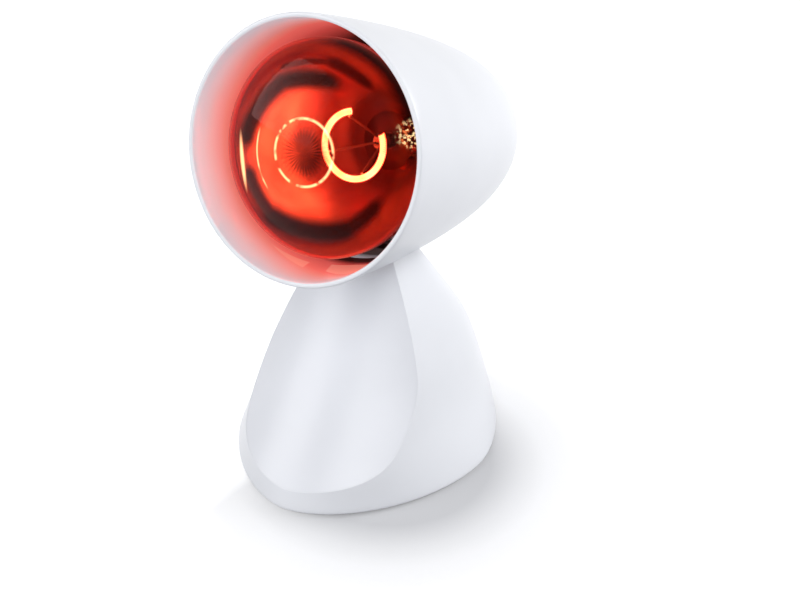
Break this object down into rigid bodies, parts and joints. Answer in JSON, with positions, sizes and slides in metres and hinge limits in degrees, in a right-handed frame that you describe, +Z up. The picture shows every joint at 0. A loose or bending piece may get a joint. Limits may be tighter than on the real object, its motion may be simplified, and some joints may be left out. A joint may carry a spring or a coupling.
{
  "type": "infrared heat therapy lamp",
  "caption": "Infrared heat lamp: bell-shaped hood round a red reflector bulb, tilting on the neck of a weighted bell-shaped base with a teardrop front panel and a rear rocker switch.",
  "frame": {"origin": "on the table, at the centre of the lamp's outer box", "axes": "+Z up, -Y the way the lamp faces, +X to the right of someone who looks at its front"},
  "size_m": [0.1308, 0.1863, 0.2278],
  "materials": {
    "white_abs": "gloss",
    "white_cover_abs": "satin",
    "white_rocker": "gloss",
    "grey_plastic": "matte",
    "black_rubber": "matte",
    "zinc_steel": "zinc plated",
    "ballast_steel": "black paint",
    "brass": "satin",
    "aluminium": "satin",
    "porcelain": "glazed porcelain",
    "ruby_glass": "ruby glass",
    "silvered_glass": "glass silvered inside",
    "clear_glass": "clear glass",
    "black_glass": "black glass",
    "tungsten": "coiled wire, glowing"
  },
  "bodies": {
    "base": {"base_shell": "white_abs", "front_cover": "white_cover_abs", "bottom_plate": "grey_plastic", "ballast": "ballast_steel", "ballast_screw_1": "zinc_steel", "ballast_screw_2": "zinc_steel", "plate_screw_1": "zinc_steel", "plate_screw_2": "zinc_steel", "plate_screw_3": "zinc_steel", "plate_screw_4": "zinc_steel", "foot_1": "black_rubber", "foot_2": "black_rubber", "foot_3": "black_rubber", "foot_4": "black_rubber", "terminal_block": "grey_plastic", "cord_grommet": "black_rubber", "switch_housing": "white_rocker", "switch_tab_1": "brass", "switch_tab_2": "brass", "detent_wheel": "grey_plastic"},
    "head": {"hood": "white_abs", "lamp_bracket": "zinc_steel", "bracket_screw_1": "zinc_steel", "bracket_screw_2": "zinc_steel", "detent_spring": "zinc_steel", "detent_rivet": "zinc_steel", "pivot_spacer": "grey_plastic", "washer_left": "zinc_steel", "washer_right": "zinc_steel", "pivot_bolt": "zinc_steel", "pivot_nut": "zinc_steel", "lampholder": "porcelain", "holder_screw_1": "zinc_steel", "holder_screw_2": "zinc_steel", "socket_shell": "brass", "socket_contact": "brass", "bulb_glass": "ruby_glass", "bulb_reflector": "silvered_glass", "bulb_cap": "aluminium", "cap_insulator": "black_glass", "bulb_contact": "aluminium", "glass_stem": "clear_glass", "heat_disc": "aluminium", "filament": "tungsten", "lead_wire_1": "zinc_steel", "lead_wire_2": "zinc_steel", "filament_support_1": "zinc_steel", "filament_support_2": "zinc_steel"},
    "switch_rocker": {"rocker": "white_rocker"}
  },
  "joints": [
    {"name": "head_tilt", "type": "hinge", "parent": "base", "child": "head", "pos_m": [0, -0.0094, 0.118], "axis": [1, 0, 0], "range_deg": [-8, 24]},
    {"name": "switch_rock", "type": "hinge", "parent": "base", "child": "switch_rocker", "pos_m": [0, 0.05328, 0.03986], "axis": [1, 0, 0], "range_deg": [0, 14]}
  ]
}
